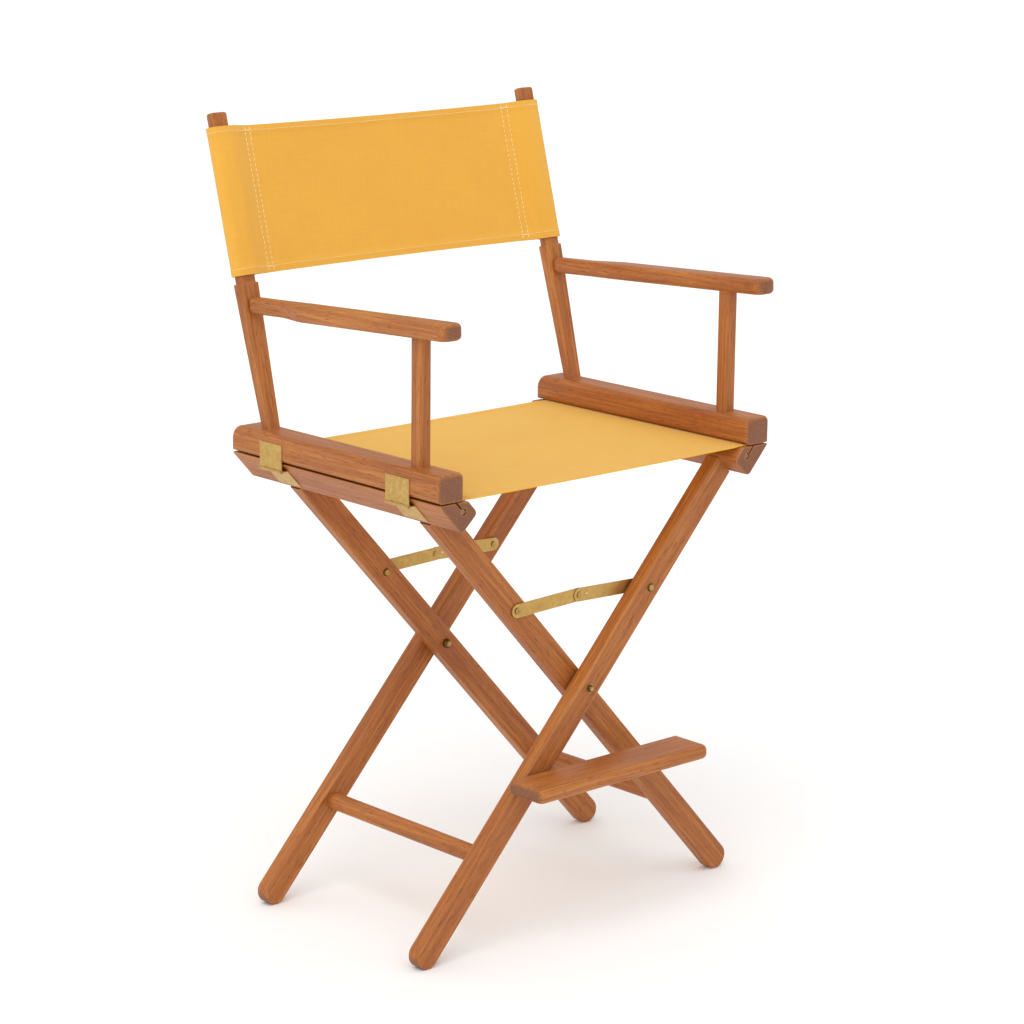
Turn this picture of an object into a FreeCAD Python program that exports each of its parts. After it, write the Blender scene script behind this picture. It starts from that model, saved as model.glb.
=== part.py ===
import FreeCAD, Part
import math
import os
import Sketcher
from types import SimpleNamespace
from FreeCAD import Placement, Rotation, Vector

# Tall folding armchair: two crossed leg frames, a side frame hinged on each, cloth seat and back.
# X runs across the chair, -Y is the front, Z is up. Frame "outer" carries the right rail (+X),
# frame "inner" the left rail (-X). Sizes are millimetres and degrees.
SIZES = {
    # crossed legs and their rails
    "pivot_height": 300, "leg_angle": 47.6, "leg_w": 33, "leg_t": 20, "leg_gap": 5,
    "frame_front": 156, "lower_rail_d": 21.33, "leg_round": 3, "tenon_w": 22, "tenon_t": 10,
    "tenon_l": 12, "rail_fore": 31, "rail_aft": 45, "rail_round": 6,
    # side frames
    "seat_top": 610, "upper_rail_w": 40, "upper_rail_t": 33, "rail_overhang": 1.5,
    "rail_corner_rear": 18, "rail_corner_front": 7, "canvas_gap": 2,
    "front_post_set": 26, "front_post_w": 18, "post_round": 4, "post_inset": 22,
    "back_post_set": 7, "back_post_depth": 17, "back_post_foot": 18, "back_post_shoulder": 29,
    "shoulder_rise": 172, "post_rise": 374, "post_rake": 15.5, "post_top_w": 24,
    "post_top_d": 15, "post_top_round": 5,
    "arm_rise": 152.5, "arm_slope": 2.8, "arm_t": 20, "arm_over": 8, "arm_narrow": 19,
    "arm_wide_in": 12, "arm_wide_out": 22, "arm_neck": 31, "arm_flare": 46,
    "arm_nose": 14, "arm_tail": 8, "arm_round": 6, "dowel_r": 4, "dowel_l": 40,
    # stretchers and bolts
    "stretcher_r": 11, "stretcher_end_r": 9.5, "stretcher_taper": 10, "stretcher_reach": 247,
    "stretcher_tenon_r": 7, "stretcher_tenon_l": 12, "bolt_r": 3, "bolt_head_r": 4.6,
    "bolt_head_h": 3.2, "head_washer_r": 5.6, "washer_r": 10, "washer_t": 1, "nut_r": 6,
    "nut_h": 6,
    "run_gap": 0.05,
    # folding stays in the gap between the legs
    "stay_w": 17, "stop_r": 1.3, "stop_reach": 13, "stay_t": 1.3, "stay_reach": 150,
    "stay_rise": 3.5, "stay_play": 0.2, "stay_clear": 0.4, "rivet_r": 2.5, "rivet_head_r": 5, "rivet_head_h": 2.4,
    "rivet_flange_r": 4, "rivet_flange_h": 0.8,
    # butt hinges
    "hinge_l": 42, "hinge_t": 1.2, "hinge_up": 33, "hinge_down": 30, "knuckle_r": 2.2,
    "hinge_pin_r": 1.1, "pin_drop": 10, "hinge_front_set": 41, "hinge_rear_set": 35,
    "knuckle_gap": 0.2, "knuckle_clear": 0.3, "screw_r": 1.3, "screw_head_r": 2.3,
    "screw_l": 9.5, "screw_edge": 5, "screw_step": 5,
    # footrest
    "rest_top": 211, "rest_t": 18, "rest_depth": 55, "rest_left": 136, "rest_right": 152,
    "rest_gap": 5, "rest_round": 7, "rest_corner": 10, "rest_bolt_r": 3.5, "rest_spacer_r": 6,
    "rest_bolt_head_r": 6.5, "rest_bolt_l": 32, "peg_r": 4, "peg_offset": 7, "peg_under": 25,
    "peg_sunk": 12, "soft_gap": 0.3,
    # cloth
    "canvas_t": 1.3, "seat_fore_set": 6, "seat_aft_set": 15, "seat_hinge_set": 6.8,
    "slot_n": 3, "slot_w": 3, "slot_depth": 16, "seat_dowel_r": 3,
    "back_rise": 181, "back_height": 176, "sleeve_half_w": 15.5, "sleeve_half_d": 10,
}


def worked_out(s):
    """Places that follow from the sizes above, with their names."""
    a, r = math.radians(s.leg_angle), math.radians(s.post_rake)
    w = {}
    w["lower_top"] = s.seat_top - s.upper_rail_t - s.canvas_gap
    rise = w["lower_top"] - s.pivot_height
    w["rail_front"] = s.frame_front + s.rail_fore
    w["rail_rear"] = s.frame_front + s.rail_aft
    w["front_post_y"] = s.frame_front - s.front_post_set
    w["back_post_y"] = s.frame_front - s.back_post_set
    w["hinge_front_y"] = s.frame_front - s.hinge_front_set
    w["hinge_rear_y"] = s.frame_front - s.hinge_rear_set
    w["arm_front"] = w["rail_front"] + s.arm_over
    w["arm_flare_rear"] = w["back_post_y"] - s.arm_neck
    w["arm_flare_front"] = w["arm_flare_rear"] - s.arm_flare
    w["foot_reach"] = (s.pivot_height - s.leg_w / 2) / math.sin(a)
    w["rail_out"] = (rise + s.leg_w / 2 * math.cos(a)) / math.sin(a)
    w["rail_in"] = (rise - s.leg_w / 2 * math.cos(a)) / math.sin(a)
    w["rail_reach"] = w["rail_in"] - s.lower_rail_d
    w["rail_x"] = w["rail_out"] * math.cos(a) + s.leg_w / 2 * math.sin(a) + s.rail_overhang
    w["rail_mid_x"] = w["rail_x"] - s.upper_rail_w / 2
    w["post_x"] = w["rail_x"] - s.post_inset
    w["cloth_mid"] = w["lower_top"] + s.canvas_gap / 2
    w["pin_x"] = w["rail_x"] + s.hinge_t / 2
    w["pin_z"] = w["cloth_mid"] - s.pin_drop
    w["inner_front"] = s.frame_front - s.leg_t - s.leg_gap
    w["slot_foot"] = (rise - s.slot_n * math.cos(a)) / math.sin(a) - s.slot_depth
    w["slot_high"] = w["rail_out"] - w["slot_foot"] + 5
    w["bore_r"] = s.seat_dowel_r + s.canvas_t
    w["rest_back"] = s.frame_front + s.rest_gap
    w["rest_pivot_x"] = (s.pivot_height - s.rest_top + s.rest_t / 2) / math.tan(a)
    w["peg_l"] = s.peg_sunk + s.leg_gap + s.leg_t + s.rest_gap + s.peg_under
    w["stay_half"] = math.hypot(s.stay_reach * math.cos(a), s.stay_rise)
    w["stay_x"] = s.stay_reach * math.cos(a)
    w["stay_z"] = s.pivot_height + s.stay_reach * math.sin(a)
    w["arm_under"] = s.seat_top + s.arm_rise
    w["post_foot_l"] = s.shoulder_rise / math.cos(r)
    w["post_all_l"] = s.post_rise / math.cos(r)
    w["seat_front"] = w["rail_front"] - s.seat_fore_set
    w["seat_rear"] = w["rail_rear"] - s.seat_aft_set
    w["seat_hinge_x"] = w["rail_in"] * math.cos(a) - s.leg_w / 2 * math.sin(a) \
        - s.seat_hinge_set
    w["back_lo"] = s.back_rise / math.cos(r)
    w["back_l"] = s.back_height / math.cos(r)
    w["sleeve_x"] = w["post_x"] + 0.5
    w["back_half"] = w["sleeve_x"] - s.sleeve_half_w - s.soft_gap
    return w


doc = FreeCAD.newDocument("folding_chair")
sheet = doc.addObject("Spreadsheet::Sheet", "dims")
V = SimpleNamespace(**SIZES)
ROWS = {**SIZES, **worked_out(V)}
for row, (name, number) in enumerate(ROWS.items(), start=1):
    sheet.set(f"A{row}", name)
    sheet.set(f"B{row}", f"{number:.6f}")
    sheet.setAlias(f"B{row}", name)
doc.recompute()
V = SimpleNamespace(**{name: float(sheet.get(name)) for name in ROWS})

CHAIR = Placement()
OUTER = Placement(Vector(0, 0, V.pivot_height), Rotation(0, -V.leg_angle, 0))
INNER = Placement(Vector(0, 0, V.pivot_height), Rotation(180, -V.leg_angle, 0))
PARTS = []
angle = math.radians(V.leg_angle)
X, Y, Z = Vector(1, 0, 0), Vector(0, 1, 0), Vector(0, 0, 1)


def parts_of(text):
    """Split '-name/2' into its sign, its cell name and its divisor."""
    sign = -1 if text.startswith("-") else 1
    name, _, divisor = text.lstrip("-").partition("/")
    return sign, name, float(divisor or 1)


def number(size):
    """The value of a number, or of a size written as '-name/2'."""
    if not isinstance(size, str):
        return float(size)
    sign, name, divisor = parts_of(size)
    return sign * getattr(V, name) / divisor


def bind(thing, prop, size):
    """Set a property to a number, or tie it to its cell."""
    if isinstance(size, str):
        sign, name, divisor = parts_of(size)
        thing.setExpression(prop, f"{'-' if sign < 0 else ''}dims.{name}/{divisor:g}")
    else:
        thing.setExpression(prop, f"{size:.6f}")


def solid(kind, label, place, **sizes):
    """A Part primitive whose sizes are tied to the sheet."""
    thing = doc.addObject(kind, label)
    for prop, size in sizes.items():
        bind(thing, prop, size)
    thing.Placement = place
    return thing


def box(label, size, low, frame=CHAIR):
    return solid("Part::Box", label, frame.multiply(Placement(Vector(*low), Rotation())),
                 Length=size[0], Width=size[1], Height=size[2])


def rod(label, radius, length, start, axis, frame=CHAIR):
    place = Placement(Vector(*start), Rotation(Z, axis))
    return solid("Part::Cylinder", label, frame.multiply(place), Radius=radius, Height=length)


def sketch_on(body, role, offset=0):
    """An empty sketch on one of the body's own origin planes, moved along its normal."""
    sketch = body.newObject("Sketcher::SketchObject", "sketch")
    plane = [f for f in body.Origin.OriginFeatures if f.Role == role][0]
    sketch.AttachmentSupport = [(plane, "")]
    sketch.MapMode = "FlatFace"
    if offset:
        bind(sketch, "AttachmentOffset.Base.z", offset)
    return sketch


def outline(sketch, points):
    """A closed polygon with each corner tied to its cells."""
    corners = [Vector(number(x), number(y), 0) for x, y in points]
    count = len(corners)
    for i in range(count):
        sketch.addGeometry(Part.LineSegment(corners[i], corners[(i + 1) % count]))
    for i in range(count):
        sketch.addConstraint(Sketcher.Constraint("Coincident", i, 2, (i + 1) % count, 1))
    for i, point in enumerate(points):
        for kind, size in zip(("DistanceX", "DistanceY"), point):
            tie = sketch.addConstraint(Sketcher.Constraint(kind, -1, 1, i, 1, number(size)))
            if isinstance(size, str):
                bind(sketch, f"Constraints[{tie}]", size)


def circle(sketch, radius, centre):
    sketch.addGeometry(Part.Circle(Vector(number(centre[0]), number(centre[1]), 0), Z,
                                   number(radius)))
    for kind, size in zip(("DistanceX", "DistanceY"), centre):
        tie = sketch.addConstraint(Sketcher.Constraint(kind, -1, 1, 0, 3, number(size)))
        if isinstance(size, str):
            bind(sketch, f"Constraints[{tie}]", size)
    tie = sketch.addConstraint(Sketcher.Constraint("Radius", 0, number(radius)))
    bind(sketch, f"Constraints[{tie}]", radius)


def pad(body, sketch, length):
    feature = body.newObject("PartDesign::Pad", "pad")
    feature.Profile = sketch
    bind(feature, "Length", length)
    doc.recompute()
    return feature


def round_over(body, names, radius):
    base = body.Tip
    feature = body.newObject("PartDesign::Fillet", "fillet")
    feature.Base = (base, names)
    bind(feature, "Radius", radius)
    doc.recompute()


def fillet(body, radius, wanted):
    """Round the edges of the body's tip that the test picks, given both ends in its own frame."""
    doc.recompute()
    names = []
    for i, edge in enumerate(body.Tip.Shape.Edges, start=1):
        if len(edge.Vertexes) == 2 and wanted(edge.Vertexes[0].Point, edge.Vertexes[1].Point):
            names.append(f"Edge{i}")
    round_over(body, names, radius)


def upright(p, q):
    """An edge that climbs."""
    return abs(p.z - q.z) > 1


def crosswise(p, q):
    """An edge that runs across the chair."""
    return abs(p.x - q.x) > 1


def prism(label, role, points, offset, length, place=CHAIR):
    """A body padded from one polygon, starting at an offset along the plane's normal."""
    body = doc.addObject("PartDesign::Body", label)
    sketch = sketch_on(body, role, offset)
    outline(sketch, points)
    pad(body, sketch, length)
    body.Placement = place
    return body


def turned(label, profile, place, head=None):
    """A body revolved about its own Z axis; head is (z, radius) of a rim to round over."""
    body = doc.addObject("PartDesign::Body", label)
    sketch = sketch_on(body, "XZ_Plane")
    outline(sketch, profile)
    feature = body.newObject("PartDesign::Revolution", "turn")
    feature.Profile = sketch
    feature.ReferenceAxis = (sketch, ["V_Axis"])
    feature.Angle = 360
    doc.recompute()
    if head:
        names = [f"Edge{i}" for i, edge in enumerate(body.Tip.Shape.Edges, start=1)
                 if abs(edge.BoundBox.ZMin - number(head[0])) < 1e-6
                 and edge.BoundBox.ZLength < 1e-6 and edge.Curve.TypeId == "Part::GeomCircle"]
        round_over(body, names, head[1])
    body.Placement = place
    return body


def cut(label, base, tools):
    """The base with each tool taken out of it in turn."""
    for tool in tools:
        result = doc.addObject("Part::Cut", label)
        result.Base, result.Tool = base, tool
        base = result
    return base


def fuse(label, pieces):
    result = doc.addObject("Part::MultiFuse", label)
    result.Shapes = pieces
    result.Refine = True
    return result


def part(label, *pieces):
    """Name a sub-part: one object, or a group of separate ones."""
    if len(pieces) == 1:
        result = pieces[0]
    else:
        result = doc.addObject("Part::Compound", label)
        result.Links = list(pieces)
    for other in doc.getObjectsByLabel(label):
        if other is not result:
            other.Label = label + "_stock"
    result.Label = label
    PARTS.append(result)
    return result


def at(x, y, z, axis=Z, frame=CHAIR):
    """A placement at a point, with its own Z along the axis."""
    return frame.multiply(Placement(Vector(x, y, z), Rotation(Z, axis)))


# ---- crossed legs -----------------------------------------------------------------------
def leg_blank(label, front, frame):
    """One leg along its frame's X: round foot, square shoulder, tenon. front is its front face."""
    body = doc.addObject("PartDesign::Body", label)
    sketch = sketch_on(body, "XZ_Plane", -front)
    outline(sketch, [("-foot_reach", "-leg_w/2"), ("rail_reach", "-leg_w/2"),
                     ("rail_reach", "leg_w/2"), ("-foot_reach", "leg_w/2")])
    pad(body, sketch, "leg_t").Reversed = True
    sketch = sketch_on(body, "XZ_Plane", -front)
    circle(sketch, "leg_w/2", ("-foot_reach", 0))
    pad(body, sketch, "leg_t").Reversed = True
    shoulder = V.rail_reach - 0.01
    fillet(body, "leg_round", lambda p, q: abs(p.y - q.y) < 1e-6 and min(p.x, q.x) < shoulder)
    body.Placement = frame
    tenon = box(label + "_tenon", (number("tenon_l") + 1, "tenon_t", "tenon_w"),
                (V.rail_reach - 1, front + (V.leg_t - V.tenon_t) / 2, -V.tenon_w / 2), frame)
    return fuse(label, [body, tenon])


front, inner = V.frame_front, V.inner_front
bolt_length = V.leg_t * 2 + V.leg_gap
bolts, nuts, washers = [], [], []
for end in (-1, 1):
    place = at(0, end * front, V.pivot_height, Y * -end)
    bolts.append(turned("bolt", [(0, -V.washer_t - V.bolt_head_h),
                                 ("bolt_head_r", -V.washer_t - V.bolt_head_h),
                                 ("bolt_head_r", "-washer_t"), ("bolt_r", "-washer_t"),
                                 ("bolt_r", bolt_length + V.nut_h - 2),
                                 (0, bolt_length + V.nut_h - 2)], place,
                        (-V.washer_t - V.bolt_head_h, V.bolt_head_h - 0.3)))
    for start, thick, radius in ((-V.washer_t, "washer_t", "head_washer_r"),
                                 (V.leg_t, "leg_gap", "washer_r")):
        ring = rod("washer", radius, thick, (0, 0, start), Z, place)
        hole = rod("washer_hole", "bolt_r", bolt_length, (0, 0, -V.washer_t), Z, place)
        washers.append(cut("washer", ring, [hole]))
    nut = turned("nut", [(0, bolt_length), ("nut_r", bolt_length),
                         ("nut_r", bolt_length + V.nut_h), (0, bolt_length + V.nut_h)], place,
                 (bolt_length + V.nut_h, V.nut_h - 1.5))
    nuts.append(cut("nut", nut, [bolts[-1]]))
centre_bolts = part("centre_bolts", *bolts)
part("centre_nuts", *nuts)
part("centre_washers", *washers)


def stretcher(label, half, frame):
    """A dowel between the two legs of a frame, stepped down into both."""
    span = 2 * half
    profile = [(0, -V.stretcher_tenon_l), ("stretcher_tenon_r", -V.stretcher_tenon_l),
               ("stretcher_tenon_r", 0), ("stretcher_end_r", 0),
               ("stretcher_r", "stretcher_taper"), ("stretcher_r", span - V.stretcher_taper),
               ("stretcher_end_r", span), ("stretcher_tenon_r", span),
               ("stretcher_tenon_r", span + V.stretcher_tenon_l),
               (0, span + V.stretcher_tenon_l)]
    return part(label, turned(label, profile, at(-V.stretcher_reach, -half, 0, Y, frame)))


stretcher_left = stretcher("stretcher_left", front - V.leg_t, OUTER)
stretcher_right = stretcher("stretcher_right", inner - V.leg_t, INNER)


# ---- folding stays ----------------------------------------------------------------------
# Counted from the outer leg's face into the gap: flange, outer link, play, inner link, flange.
outer_low = V.stay_clear + V.rivet_flange_h
inner_low = outer_low + V.stay_t + V.stay_play


def stay_rivet(label, gap, leg, sunk, far, place):
    """A rivet through a leg and a link. gap is the leg-to-link distance, far the room beyond."""
    head = (-leg - V.rivet_head_h, V.rivet_head_h - 0.3)
    return turned(label, [(0, head[0]), ("rivet_head_r", head[0]), ("rivet_head_r", -leg),
                          ("rivet_r", -leg), ("rivet_r", 0), ("rivet_flange_r", 0),
                          ("rivet_flange_r", gap), ("rivet_r", gap),
                          ("rivet_r", gap + sunk), ("rivet_flange_r", gap + sunk),
                          ("rivet_flange_r", far), (0, far)], place, head)


rivets = {"outer": [], "inner": []}
for end, name in ((-1, "front"), (1, "rear")):
    for frame, sign, low in (("outer", 1, outer_low), ("inner", -1, inner_low)):
        label = f"stay_{name}_{frame}"
        slope = math.atan2(V.stay_rise, V.stay_x)
        along = Vector(-sign * math.cos(slope), 0, math.sin(slope))
        # The link's own X runs from its leg's rivet to the middle, its Z into the gap.
        into = Y * -end
        turn = Rotation(along, into.cross(along), into, "XZY")
        place = Placement(Vector(sign * V.stay_x, end * (front - V.leg_t), V.stay_z), turn)
        plate = box(label, ("stay_half", "stay_w", "stay_t"), (0, -V.stay_w / 2, low), place)
        ends = [rod(label, "stay_w/2", "stay_t", (x, 0, low), Z, place)
                for x in (0, V.stay_half)]
        eye = solid("Part::Cylinder", label, place.multiply(at(0, 0, low - 1)),
                    Radius=V.rivet_r + V.run_gap, Height=V.stay_t + 2)
        mid_eye = rod(label, "rivet_r", V.stay_t + 2, (V.stay_half, 0, low - 1), Z, place)
        holes = [eye, mid_eye]
        if frame == "outer":
            holes.append(rod(label, "stop_r", V.stay_t + 2,
                             (V.stay_half - V.stop_reach, 0, low - 1), Z, place))
        part(label, cut(label, fuse(label, [plate, *ends]), holes))
        # Each half of the middle rivet stays with its own link and stops at the other's half.
        meet = outer_low + V.stay_t + V.stay_play / 2
        if frame == "outer":
            profile = [(0, "stay_clear"), ("rivet_flange_r", "stay_clear"),
                       ("rivet_flange_r", low), ("rivet_r", low), ("rivet_r", meet), (0, meet)]
        else:
            top = low + V.stay_t
            profile = [(0, meet), ("rivet_r", meet), ("rivet_r", top),
                       ("rivet_flange_r", top), ("rivet_flange_r", top + V.rivet_flange_h),
                       (0, top + V.rivet_flange_h)]
        half = turned(label + "_rivet", profile,
                      place.multiply(at(V.stay_half, 0, 0)))
        part(label + "_rivet", half)
        if frame == "outer":
            spot = at(sign * V.stay_x, end * (front - V.leg_t), V.stay_z, into)
            rivet = stay_rivet("rivet", low, V.leg_t, V.stay_t, low + V.stay_t + 1.2, spot)
        else:
            spot = at(sign * V.stay_x, end * inner, V.stay_z, -into)
            gap = V.leg_gap - low - V.stay_t
            rivet = stay_rivet("rivet", gap, V.leg_t, V.stay_t, gap + V.stay_t + 1.2, spot)
        rivets[frame].append(rivet)
rivets_outer = part("stay_rivets_outer", *rivets["outer"])
rivets_inner = part("stay_rivets_inner", *rivets["inner"])

# ---- footrest ---------------------------------------------------------------------------
rest_z = V.rest_top - V.rest_t / 2
bolt_place = at(-V.rest_pivot_x, -(front - V.leg_t), rest_z, -Y)
rest_bolt = part("footrest_bolt", turned(
    "footrest_bolt", [(0, 0), ("rest_bolt_head_r", 0), ("rest_bolt_r", 4),
                      ("rest_bolt_r", V.leg_t + V.rest_gap + V.rest_bolt_l),
                      (0, V.leg_t + V.rest_gap + V.rest_bolt_l)], bolt_place))
spacer = rod("footrest_spacer", "rest_spacer_r", "rest_gap", (0, 0, V.leg_t), Z, bolt_place)
part("footrest_spacer", cut("footrest_spacer", spacer, [rest_bolt]))
board = prism("footrest_board", "XY_Plane",
              [("-rest_left", 0), ("rest_right", 0), ("rest_right", "-rest_depth"),
               ("-rest_left", "-rest_depth")], 0, "rest_t",
              at(0, -V.rest_back, V.rest_top - V.rest_t))
fillet(board, "rest_corner", lambda p, q: upright(p, q) and p.y < -1)
fillet(board, "rest_round", lambda p, q: not upright(p, q) and min(p.y, q.y) < -1)
bore = solid("Part::Cylinder", "footrest_bore", bolt_place.multiply(at(0, 0, V.leg_t)),
             Radius=V.rest_bolt_r + V.run_gap, Height=V.rest_gap + V.rest_bolt_l + 1)
part("footrest_board", cut("footrest_board", board, [bore]))
peg_drop = V.pivot_height - (V.rest_top - V.rest_t - V.soft_gap - V.peg_r)
peg_s = (peg_drop + V.peg_offset * math.cos(angle)) / math.sin(angle)
peg = part("footrest_peg", turned(
    "footrest_peg", [(0, 0), ("peg_r", 0), ("peg_r", "peg_l"), (0, "peg_l")],
    at(-peg_s, inner - V.peg_sunk, V.peg_offset, Y, INNER), ("peg_l", 1.2)))

# ---- hinges -----------------------------------------------------------------------------
hinge_screws, hinge_leaves = {}, {}
KNUCKLES = 5


def knuckle_spans(centre, keep):
    """Where each of one leaf's knuckles starts along Y, and its length."""
    pitch = V.hinge_l / KNUCKLES
    return [(centre - V.hinge_l / 2 + i * pitch + V.knuckle_gap / 2, pitch - V.knuckle_gap)
            for i in range(KNUCKLES) if i % 2 == keep]


def csk_screw(place):
    """A countersunk wood screw, its flat head at the placement's origin, running into +Z."""
    return turned("screw", [(0, 0), ("screw_head_r", 0), ("screw_r", "hinge_t"),
                            ("screw_r", V.screw_l - 3), (0, "screw_l")], place)


for side in ("left", "right"):
    sign = 1 if side == "right" else -1
    frame = OUTER if side == "right" else INNER
    leaves, screws = {"upper": [], "lower": []}, {"upper": [], "lower": []}
    pins = []
    for centre in (-V.hinge_front_y, V.hinge_rear_y):
        # The upper leaf hangs past the gap to the pin; the lower leaf steps out to it from
        # the rail's sloping face. The leg frame's Y is turned round on the left.
        clear = V.knuckle_r + V.knuckle_clear
        face = V.leg_w / 2
        drop = V.pin_z - V.pivot_height
        bend_s = (drop + face * math.cos(angle)) / math.sin(angle)
        bend_x = bend_s * math.cos(angle) + face * math.sin(angle)
        local_y = sign * centre
        start_x = V.rail_x if sign > 0 else -V.rail_x - V.hinge_t
        step_out = V.pin_x - clear - bend_x + 1
        pieces = {
            "upper": [box("leaf", ("hinge_t", "hinge_l", V.hinge_up - clear),
                          (start_x, centre - V.hinge_l / 2, V.pin_z + clear))],
            "lower": [box("leaf", ("hinge_down", "hinge_l", "hinge_t"),
                          (bend_s - V.hinge_down + 0.3, local_y - V.hinge_l / 2,
                           -face - V.hinge_t), frame),
                      box("step", (step_out, "hinge_l", "hinge_t"),
                          (bend_x - 1 if sign > 0 else 1 - bend_x - step_out,
                           centre - V.hinge_l / 2, V.pin_z - V.hinge_t / 2))]}
        for level, keep in (("upper", 0), ("lower", 1)):
            for start, length in knuckle_spans(centre, keep):
                pieces[level].append(rod("knuckle", "knuckle_r", length,
                                         (sign * V.pin_x, start, V.pin_z), Y))
                if level == "upper":
                    pieces[level].append(box("web", ("hinge_t", length, clear + 0.01),
                                             (start_x, start, V.pin_z)))
                else:
                    low_x = V.pin_x - clear - 0.01
                    pieces[level].append(box(
                        "web", (clear + 0.01, length, "hinge_t"),
                        (low_x if sign > 0 else -V.pin_x, start, V.pin_z - V.hinge_t / 2)))
        pin = rod("hinge_pin", "hinge_pin_r", "hinge_l",
                             (sign * V.pin_x, centre - V.hinge_l / 2, V.pin_z), Y)
        pins.append(pin)
        bore = solid("Part::Cylinder", "pin_bore", pin.Placement,
                     Radius=V.hinge_pin_r + V.run_gap, Height="hinge_l")
        for step in (-1, 0, 1):
            along = step * V.hinge_l / 3
            edge = V.screw_edge + (0 if step else V.screw_step)
            screws["upper"].append(csk_screw(at(sign * (V.rail_x + V.hinge_t), centre + along,
                                                V.pin_z + V.hinge_up - edge, X * -sign)))
            screws["lower"].append(csk_screw(at(bend_s - V.hinge_down + edge, local_y + along,
                                                -face - V.hinge_t, Z, frame)))
        leaves["upper"].append(cut("leaf", fuse("leaf", pieces["upper"]),
                                   [pin, *screws["upper"][-3:]]))
        leaves["lower"].append(cut("leaf", fuse("leaf", pieces["lower"]),
                                   [bore, *screws["lower"][-3:]]))
    part(f"hinge_pins_{side}", *pins)
    for level in ("upper", "lower"):
        hinge_leaves[level, side] = part(f"hinge_leaves_{level}_{side}", *leaves[level])
        hinge_screws[level, side] = part(f"hinge_screws_{level}_{side}", *screws[level])

# ---- lower rails and legs ---------------------------------------------------------------
for side, frame, low, face in (("right", OUTER, -V.rail_front, front),
                               ("left", INNER, -V.rail_rear, inner)):
    high = low + V.rail_front + V.rail_rear
    rail = prism(f"lower_rail_{side}", "XZ_Plane",
                 [("rail_reach", "-leg_w/2"), ("rail_out", "-leg_w/2"),
                  ("rail_in", "leg_w/2"), ("rail_reach", "leg_w/2")], -high,
                 V.rail_front + V.rail_rear, frame)
    lengthwise = lambda p, q: abs(p.y - q.y) > 1
    fillet(rail, "rail_round", lambda p, q: lengthwise(p, q) and p.x < V.rail_in - 1)
    fillet(rail, 1.2, lambda p, q: not lengthwise(p, q) or p.x > V.rail_in - 1)
    dowel = rod(f"seat_dowel_{side}", "seat_dowel_r", V.rail_front + V.rail_rear - 4,
                (V.slot_foot, low + 2, V.slot_n), Y, frame)
    part(f"seat_dowel_{side}", dowel)
    slot = box("slot", ("slot_high", high - low + 2, "slot_w"),
               (V.slot_foot, low - 1, V.slot_n - V.slot_w / 2), frame)
    bore = solid("Part::Cylinder", "slot_bore", frame.multiply(
        at(V.slot_foot, low - 1, V.slot_n, Y)), Radius="bore_r", Height=high - low + 2)
    legs = []
    for end, name in ((-1, "front"), (1, "rear")):
        kind = "outer" if side == "right" else "inner"
        # The leg frame's Y is turned round on the inner frame.
        local_end = end if side == "right" else -end
        blank = leg_blank(f"leg_{name}_{kind}", -face if local_end < 0 else face - V.leg_t,
                          frame)
        legs.append(blank)
        tools = [stretcher_left if kind == "outer" else stretcher_right,
                 rivets_outer if kind == "outer" else rivets_inner]
        if kind == "outer":
            tools.append(centre_bolts)
            if end < 0:
                tools.append(rest_bolt)
        else:
            tools.append(solid("Part::Cylinder", "running_bore",
                               at(0, -face - 1, V.pivot_height, Y),
                               Radius=V.bolt_r + V.run_gap, Height=2 * face + 2))
            if end < 0:
                tools.append(peg)
        part(f"leg_{name}_{kind}", cut(f"leg_{name}_{kind}", blank, tools))
    part(f"lower_rail_{side}", cut(f"lower_rail_{side}", rail,
                                   [slot, bore, *legs, hinge_screws["lower", side],
                                    hinge_leaves["lower", side]]))

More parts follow.
